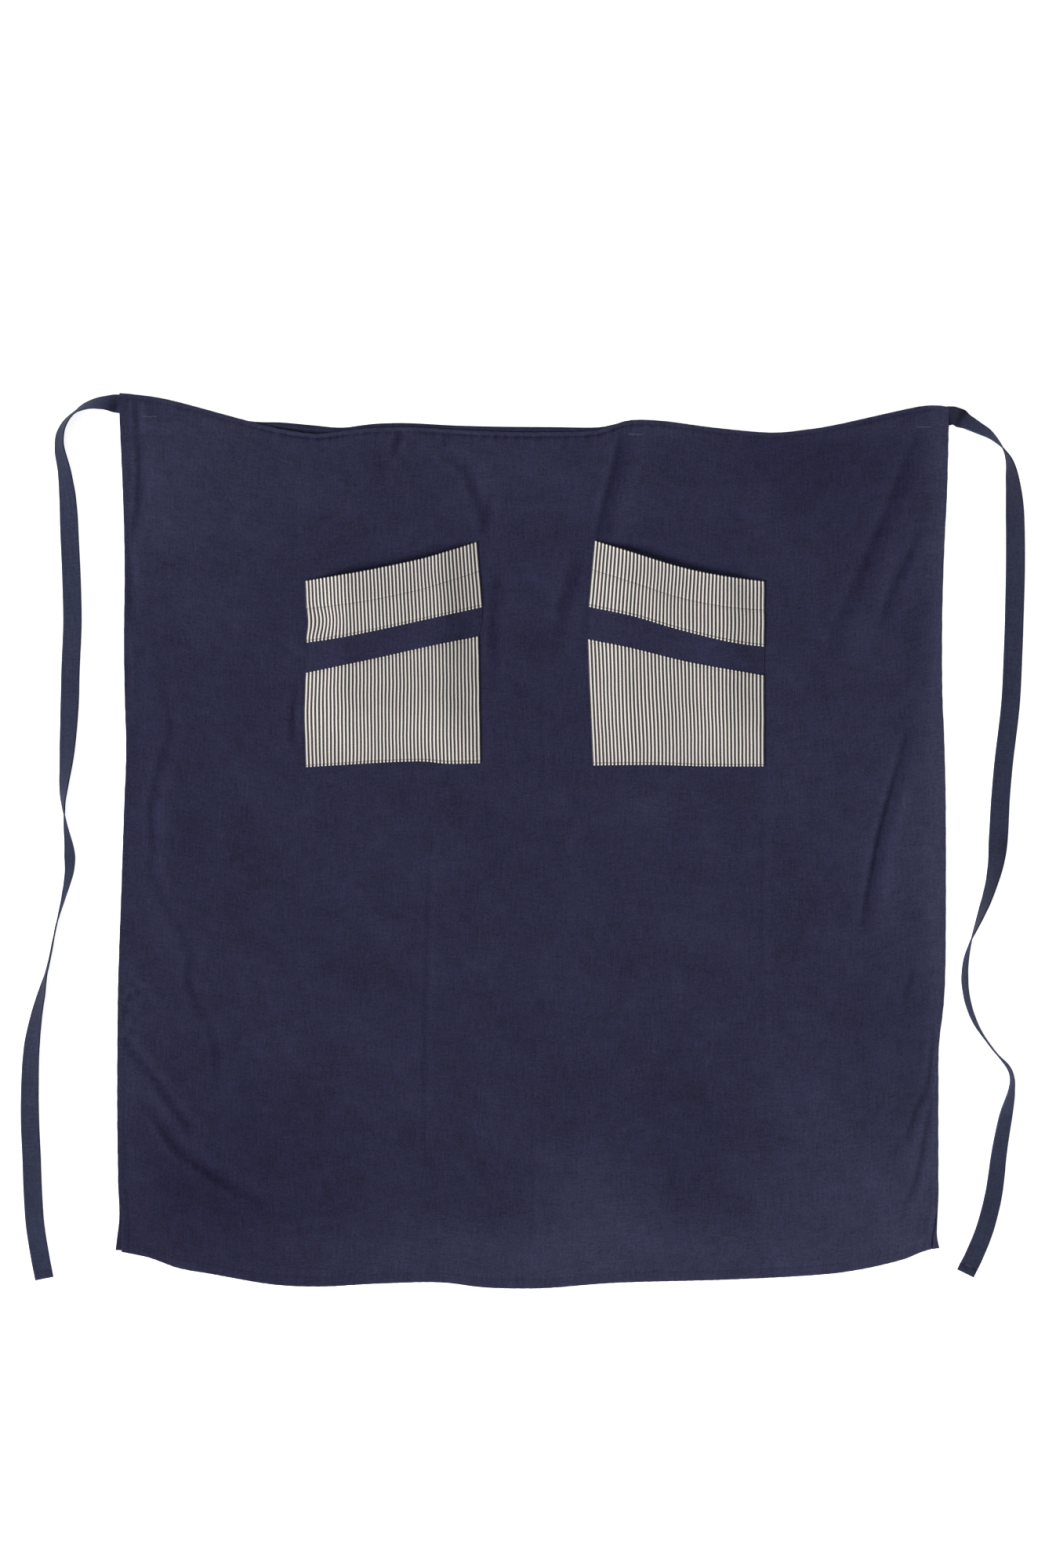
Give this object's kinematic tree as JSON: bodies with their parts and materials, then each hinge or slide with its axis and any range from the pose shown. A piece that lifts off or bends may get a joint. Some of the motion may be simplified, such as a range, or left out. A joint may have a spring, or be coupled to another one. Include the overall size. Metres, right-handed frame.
{
  "type": "waist apron",
  "caption": "Bib-less butcher's waist apron in double-layer navy cloth, laid flat, with long side ties and striped patch pockets that have a plain band.",
  "frame": {"origin": "on the surface that the apron lies on, at the middle of its body's outline", "axes": "+X to the apron's right as seen from the front, +Y from the bottom hem to the waist, +Z off the front"},
  "size_m": [1.1094, 0.9884, 0.0115],
  "materials": {
    "navy_linen": "matte cross-dyed plain weave with slubs",
    "tie_linen": "matte plain weave, slightly bluer",
    "ticking_stripe": "matte twill, cream with dark stripes that repeat every 4 mm",
    "thread": "pale blue-grey sewing thread"
  },
  "bodies": {
    "apron_body": {"back_panel": "navy_linen", "front_panel": "navy_linen", "back_waist_hem": "navy_linen", "front_waist_hem": "navy_linen", "back_bottom_hem": "navy_linen", "front_bottom_hem": "navy_linen", "right_side_seam": "navy_linen", "left_side_seam": "navy_linen", "right_vent_hem_front": "navy_linen", "right_vent_hem_back": "navy_linen", "left_vent_hem_front": "navy_linen", "left_vent_hem_back": "navy_linen", "waist_tack_left": "thread", "waist_tack_centre": "thread", "waist_tack_right": "thread", "left_tie_anchor": "tie_linen", "right_tie_anchor": "tie_linen", "left_pocket_mouth_hem": "ticking_stripe", "left_pocket_upper": "ticking_stripe", "left_pocket_band": "navy_linen", "left_pocket_lower": "ticking_stripe", "right_pocket_mouth_hem": "ticking_stripe", "right_pocket_upper": "ticking_stripe", "right_pocket_band": "navy_linen", "right_pocket_lower": "ticking_stripe"},
    "left_tie_string": {"left_tie": "tie_linen", "left_tie_end_hem": "tie_linen"},
    "right_tie_string": {"right_tie": "tie_linen", "right_tie_end_hem": "tie_linen"}
  },
  "joints": [
    {"name": "left_tie_fold", "type": "hinge", "parent": "apron_body", "child": "left_tie_string", "pos_m": [-0.456, 0.482, 0.003], "axis": [0, 1, 0], "range_deg": [0, 150]},
    {"name": "right_tie_fold", "type": "hinge", "parent": "apron_body", "child": "right_tie_string", "pos_m": [0.4605, 0.469, 0.003], "axis": [0, -1, 0], "range_deg": [0, 150]}
  ]
}
